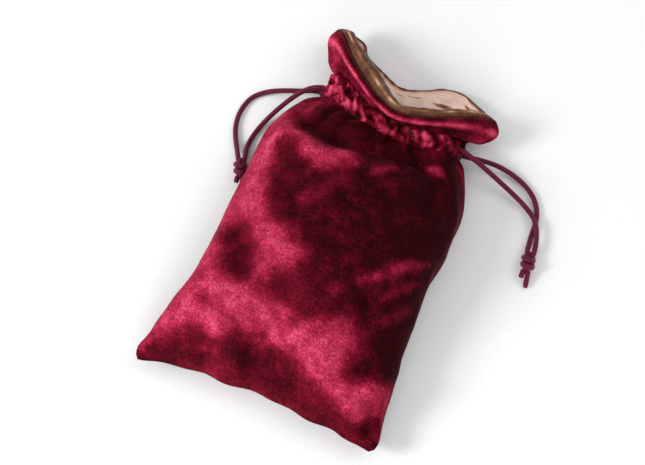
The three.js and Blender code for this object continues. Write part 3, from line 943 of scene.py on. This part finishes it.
def add_cord_inside(side, channel):
    """The part of a cord in the casing: two runs in from the slit, and the ring round the neck."""
    sign = SIDES[side]
    exit_point = LEFT_EXIT if sign < 0 else RIGHT_EXIT
    runs = []
    for z_out, z_in in RUN_HEIGHTS:
        points = [
            exit_point + (-sign * LOOP_GAP, 0, z_out), exit_point + (-sign * 2.2, 0.2, z_out),
            exit_point + (-sign * SLIT_RUN, 0.6, z_in),
        ]
        runs.append(tube(f"cord_{side}_run", spline(points, 60), CORD / 2, satin_cord, cap_round=0.3))
    loop = join(runs)
    stand_for(loop, "cord_satin", f"{side}_cord_loop")
    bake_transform(loop)
    # The neck draws in as far as the cord comes out.
    path = (1 - RING_LANES[side]) * channel[0] + RING_LANES[side] * channel[-1]
    for half, columns in halves():
        piece = tube(f"cord_{side}_ring_{half}", path[columns], CORD / 2, satin_cord, sides=8)
        stand_for(piece, "cord_satin", f"{side}_cord_loop")
        follow_neck(piece)


# ---- The bag ----


def halves():
    """The columns of the left and the right half, which meet at the middle of the front and of the back."""
    quarter = HALF // 2
    for half, first in (("left", quarter), ("right", quarter + HALF)):
        yield half, np.arange(first, first + HALF + 1) % COLUMNS


def follow_neck(piece):
    """Bakes the piece's placement into its mesh."""
    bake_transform(piece)


def grid_piece(name, outer, inner, columns, material, paint, hole=None):
    """A sheet of cloth with thickness, made from some columns of two matching grids."""
    tall, wide = len(outer), len(columns)
    vertices = np.stack([outer[:, columns], inner[:, columns]]).reshape(-1, 3)
    keep = np.ones((tall - 1, wide - 1), bool)
    if hole is not None:
        keep &= ~hole[:, columns[:-1]]
    faces = []

    def at(r, c, face):
        return (face * tall + r) * wide + c

    def kept(r, c):
        return 0 <= r < tall - 1 and 0 <= c < wide - 1 and keep[r, c]

    for r in range(tall - 1):
        for c in range(wide - 1):
            if not keep[r, c]:
                continue
            faces.append((at(r, c, 0), at(r + 1, c, 0), at(r + 1, c + 1, 0), at(r, c + 1, 0)))
            faces.append((at(r, c, 1), at(r, c + 1, 1), at(r + 1, c + 1, 1), at(r + 1, c, 1)))
            for beside, p, q in (
                ((r, c - 1), (r + 1, c), (r, c)), ((r, c + 1), (r, c + 1), (r + 1, c + 1)),
                ((r - 1, c), (r, c), (r, c + 1)), ((r + 1, c), (r + 1, c + 1), (r + 1, c)),
            ):
                if not kept(*beside):
                    faces.append((at(*p, 0), at(*q, 0), at(*q, 1), at(*p, 1)))
    piece = mesh_object(name, vertices, faces, material)
    for key, values in paint.items():
        attribute = piece.data.attributes.new(key, "FLOAT", "POINT")
        attribute.data.foreach_set("value", np.tile(values[:, columns].ravel(), 2).astype(np.float32))
    return piece


def add_halves(name, outer, inner, material, slot, replaced, paint, hole=None):
    """The left and right halves of one band of cloth."""
    normals = np.stack([grid_normals(outer), -grid_normals(inner)])
    for half, columns in halves():
        piece = grid_piece(f"{name}_{half}", outer, inner, columns, material, paint, hole)
        picked = normals[:, :, columns].reshape(-1, 3)
        piece.data.normals_split_custom_set_from_vertices([tuple(n) for n in picked])
        stand_for(piece, slot, *replaced)
        follow_neck(piece)


def slit_cells():
    """The cells of the casing that the cords' slits leave out, one slit in each side seam."""
    hole = np.zeros((CASING_ROWS, COLUMNS), bool)
    for r in range(CASING_ROWS):
        v = (r + 0.5) / CASING_ROWS
        if 0.12 < v < 0.72:
            half = 1 + int(2.4 * math.sin(math.pi * (v - 0.12) / 0.6))
            for seam in (0, HALF):
                hole[r, np.arange(seam - half, seam + half)] = True
    return hole


def on_row(row, places):
    """Points of a row of the bag's grid at these places in columns, whole or between two."""
    low = np.floor(places).astype(int)
    rest = (places - low)[:, None]
    return (1 - rest) * row[low % COLUMNS] + rest * row[(low + 1) % COLUMNS]


def add_stitches(name, row, normals, count, reach, node):
    """A row of short stitches in a ring of cloth; row and normals are one row of the bag's grid."""
    for half, columns in halves():
        made = []
        for k in range(count):
            places = columns[0] + HALF * (k + np.array([0.18, 0.5, 0.82])) / count
            out = normals[np.floor(places).astype(int) % COLUMNS]
            path = spline(on_row(row, places) + np.array([-0.25, reach, -0.25])[:, None] * out, 6)
            made.append(tube(f"{name}_{half}", path, THREAD / 2, thread, sides=6, cap_round=0.1))
        stitches = join(made)
        stand_for(stitches, "thread", node)
        follow_neck(stitches)


def add_bartacks(casing, normals):
    """The close stitches across both ends of each slit."""
    zigzag = np.zeros((13, 3))
    zigzag[:, 1] = 0.45 * np.cos(math.pi * (np.arange(13) + 1))
    for side, seam in (("left", HALF), ("right", 0)):
        for end, row in (("lower", 1), ("upper", CASING_ROWS - 3)):
            spots = on_row(casing[row], seam + np.linspace(-2.4, 2.4, len(zigzag)))
            path = spline(spots + normals[row, seam] * 0.2 + zigzag, 60)
            tack = tube(f"bartack_{side}_{end}", path, THREAD / 2, thread, sides=6, cap_round=0.1)
            stand_for(tack, "thread", f"{side}_{end}_bartack")
            follow_neck(tack)


ALLOWANCE_ROWS = 52  # the seam allowance is made this far up the sides
ALLOWANCE_SECTION = [(1.6, 0.5), (2.6, 0.65), (4.2, 0.3), (4.2, -0.3), (2.6, -0.65), (1.6, -0.5)]


def add_seam_allowance(body):
    """The raw edges of the seam, a narrow flap inside the sack along its sides and bottom."""
    left = [body[r, HALF] for r in range(ALLOWANCE_ROWS, 2, -1)]
    bottom = [body[2, c] for c in range(HALF - 3, 2, -1)]
    right = [body[r, 0] for r in range(3, ALLOWANCE_ROWS)]
    route = np.array([*left, *bottom, *right])
    route[:, 2] = SEAM_Z
    path = resample(route, 120)
    inward = unit(np.cross(np.gradient(path, axis=0), -UP))
    inward = [np.mean(inward[max(0, i - 4) : i + 5], axis=0) for i in range(len(inward))]
    vertices = [p + n * a + UP * b for p, n in zip(path, inward) for a, b in ALLOWANCE_SECTION]
    sides = len(ALLOWANCE_SECTION)
    faces = sleeve(len(path), sides)
    faces.append(tuple(range(sides - 1, -1, -1)))
    faces.append(tuple(range((len(path) - 1) * sides, len(path) * sides)))
    flap = mesh_object("seam_allowance_flap", vertices, faces, velvet)
    ride_for(flap, "sack", "velvet", "velvet_seam_allowance")


def smooth_ring(row, times=40):
    for _ in range(times):
        row = (np.roll(row, 1, axis=0) + 2 * row + np.roll(row, -1, axis=0)) / 4
    return row


def inset_ring(row, distance, times=14):
    """A smoothed ring this far inside a gathered one."""
    row = smooth_ring(row, times)
    around = across_columns(row, 0)
    return row + unit(np.stack([-around[:, 2], np.zeros(len(row)), around[:, 0]], axis=1)) * distance


def paint_nap_and_sheen(whole, normals):
    # Painted sheen and painted shade from the strokes on the front of the body, random tone on the casing,
    # and a painted highlight on the header's roll.
    nap_and_sheen = np.empty(whole.shape[:2])
    nap_and_sheen[BODY] = brushed_nap_and_sheen(whole[BODY], normals[BODY][..., 2])
    nap_and_sheen[CASING] = 0.6 + 1.1 * noise_field(whole[CASING], 2.6, 17) + 0.5 * noise_field(whole[CASING], 7, 18)
    v = np.linspace(0, 1, HEADER_ROWS + 1)[:, None]
    # Painted highlight along the top of the roll at the edge of the mouth.
    header_crest_highlight = bell(v, 0.74, 0.09)
    low = bell(v, 0, 0.16)
    side = (mouth_shares()[2] + mouth_shares()[3])[:, 0]
    nap_and_sheen[HEADER] = 0.2 + 0.85 * header_crest_highlight + 0.35 * low + 0.5 * noise_field(whole[HEADER], 4.5, 19) + 0.35 * side
    blend_rows = 6
    for k in range(blend_rows):
        share = (k + 1) / (blend_rows + 1)
        row = BODY_END - blend_rows + k
        nap_and_sheen[row] = (1 - share) * nap_and_sheen[row] + share * nap_and_sheen[BODY_END]
    return nap_and_sheen


# Shadowed folds of the lining in the open mouth: middle, half length, half width, and turn.
LINING_FOLD_SHADOWS = [((2.2, 67.6), 4.6, 1.3, 0.1), ((15.2, 67.4), 4.2, 1.0, 0.12), ((26.5, 70.5), 4.5, 0.9, -0.5)]
LINING_OUT = 1.4  # the lining's face and its back stay this high above the table
LINING_BACK = 1.0


def lining_keys(lip, neck_top, front, back, side):
    """Rows from the edge of the mouth, over its roll and down to the neck."""
    around = across_columns(lip, 0)
    into = unit(np.stack([around[:, 1], -around[:, 0], np.zeros(COLUMNS)], axis=1))
    into = smooth_ring(into, 12)
    width = 4.3 + 2.6 * smooth((np.arange(COLUMNS) / HALF - 0.5) / 0.2)[:, None] * front
    reach = front * width + back * 1.4 + side * 3.0
    height = front * 1.6 + back * 1.2 + side * 1.2
    fall = front * 3.4 - back * 0.8 + side * 2
    return [
        lip,
        lip + 0.28 * reach * into + 0.8 * height * UP,
        lip + 0.62 * reach * into + height * UP,
        lip + reach * into + 0.1 * height * UP,
        lip + (reach + 0.8 + 2.5 * back) * into - fall * UP,
        0.5 * lip + 0.5 * neck_top + front * np.array([0, 3.5, -1.5]) + side * into * 3.0 + back * 2.2 * UP,
        neck_top,
    ]


def paint_satin_shade(lining, inward, place, front):
    """How brown the lining is, as painted shade: on its roll, in its folds and down in the neck, with a
    paler painted highlight along the top of the roll.
    """
    # Painted highlight: the top of the roll is paler.
    painted_crest_highlight = bell(place, 0.3, 0.07) * (0.5 + noise_field(lining, 6, 22))
    brown = 1.1 * (1 - smooth((place - 0.56) / 0.12)) - 0.9 * np.clip(painted_crest_highlight, 0, 1)
    edge = 1.0 * (1 - smooth((place - 0.3) / 0.15))
    satin_shade = np.where(front[:, 0] > 0.3, brown, edge) + 0.5 * np.clip(noise_field(lining, 5, 23), 0, 1)
    for (x, y), long, wide, turn in LINING_FOLD_SHADOWS:
        dx, dy = lining[..., 0] - x, lining[..., 1] - y
        along = (dx * math.cos(turn) + dy * math.sin(turn)) / long
        beside = (dy * math.cos(turn) - dx * math.sin(turn)) / wide
        oval = np.exp(-((along**2 + beside**2) ** 2))
        satin_shade = np.maximum(satin_shade, 1.05 * oval * (inward[..., 2] > 0.1) * (place > 0.6))
    # Painted shade deeper down in the neck.
    return np.maximum(satin_shade, 0.9 * smooth((place - 0.95) / 0.1))


def add_lining_body(whole, normals, neck_bottom):
    rows = [whole[0] + np.array([0, 1.8, 0])]
    for i in range(1, BODY_ROWS):
        inset = BODY_INSET + (NECK_INSET - BODY_INSET) * smooth((i - BODY_END + 26) / 20)
        rows.append(inset_ring(whole[i], inset, 2 + int(14 * i / BODY_END)))
    body = np.array([*rows, neck_bottom])
    keep_above(body, LINING_OUT)
    body = body[::-1]
    thin = body + normals[BODY][::-1] * LINING
    keep_above(thin, LINING_BACK)
    # The body's lining gets one even painted shade.
    add_halves(
        "lining_body", body, thin, satin, "lining_satin", ("lining_front_panel", "lining_back_panel"),
        {"satin_shade": np.full(body.shape[:2], 0.6)},
    )


def add_lining(whole, normals):
    """The lining: it rolls over the velvet's edge, falls into the neck and lines the body."""
    lip = whole[-1] - normals[-1] * VELVET
    neck_top = inset_ring(whole[CASING_END - 1], NECK_INSET)
    neck_bottom = inset_ring(whole[BODY_END - 1], NECK_INSET)
    front, back, left, right = mouth_shares()
    rows = list(spline_rows(lining_keys(lip, neck_top, front, back, left + right), LIP_ROWS))
    for v in np.linspace(0, 1, CASING_ROWS + 1)[1:]:
        rows.append((1 - v) * neck_top + v * neck_bottom)
    lining = np.array(rows)
    inward = grid_normals(lining)  # it runs down into the bag, so these face inwards
    wave = 0.7 * noise_field(lining, 7.5, 8) + 0.45 * noise_field(lining, 3.0, 9)
    place = np.arange(len(lining))[:, None] / LIP_ROWS
    lining = lining + inward * (wave * smooth(place / 0.3))[..., None]
    under = lining - inward * LINING
    keep_above(lining, LINING_OUT)
    keep_above(under, LINING_BACK)
    satin_shade = paint_satin_shade(lining, inward, place, front)
    for band, rows in (("header", slice(0, LIP_ROWS + 1)), ("casing", slice(LIP_ROWS, None))):
        replaced = (f"{band}_front_lining", f"{band}_back_lining")
        add_halves(
            f"lining_{band}", lining[rows], under[rows], satin, "lining_satin", replaced,
            {"satin_shade": satin_shade[rows]},
        )
    add_lining_body(whole, normals, neck_bottom)


def build_bag():
    body = fold_body(body_grid())
    casing = gather_casing(casing_grid())
    header = gather_header(header_grid())
    for lower, upper in ((body, casing), (casing, header)):
        lower[-1] = (lower[-1] + upper[0]) / 2
        upper[0] = lower[-1]
    body = settle(body)
    for part, lowest in ((body, 0.15), (casing, 0.2), (header, 0.3)):
        keep_above(part, lowest)
    whole = np.concatenate([body, casing[1:], header[1:]])
    normals = grid_normals(whole)
    normals[0] = normals[1]
    inner = whole - normals * VELVET
    keep_above(inner, 0.1)
    share = np.ones(len(whole))
    distances = np.linspace(0, BODY_CLOTH, BODY_END)
    share[BODY] = smooth((distances - NECK_FOLLOW) / (BODY_CLOTH - NECK_FOLLOW))
    nap_and_sheen = paint_nap_and_sheen(whole, normals)
    for name, rows, replaced, hole in (
        ("velvet_body", BODY, ("velvet_front_panel", "velvet_back_panel"), None),
        ("velvet_casing", CASING, ("casing_front", "casing_back"), slit_cells()),
        ("velvet_header", HEADER, ("header_front", "header_back"), None),
    ):
        paint = {"nap_and_sheen": nap_and_sheen[rows]}
        add_halves(name, whole[rows], inner[rows], velvet, "velvet", replaced, paint, hole)
    add_lining(whole, normals)
    add_seam_allowance(body)
    for name, row, count, reach, node in (
        ("stitches_lower", BODY_END - 1, 46, 0.12, "casing_lower_stitches"),
        ("stitches_upper", CASING_END - 1, 46, 0.12, "casing_upper_stitches"),
        ("stitches_edge", -2, 58, 0.1, "mouth_edge_stitches"),
    ):
        add_stitches(name, whole[row], normals[row], count, reach, node)
    add_bartacks(whole[CASING], normals[CASING])
    channel = np.array([smooth_ring(row) for row in whole[CASING] - normals[CASING] * CHANNEL_DEPTH])
    keep_above(channel, CORD / 2 + 0.2)
    for side in SIDES:
        add_cord_inside(side, channel)


add_camera()
add_studio()
add_floor()
add_cord("left")
add_cord("right")
build_bag()
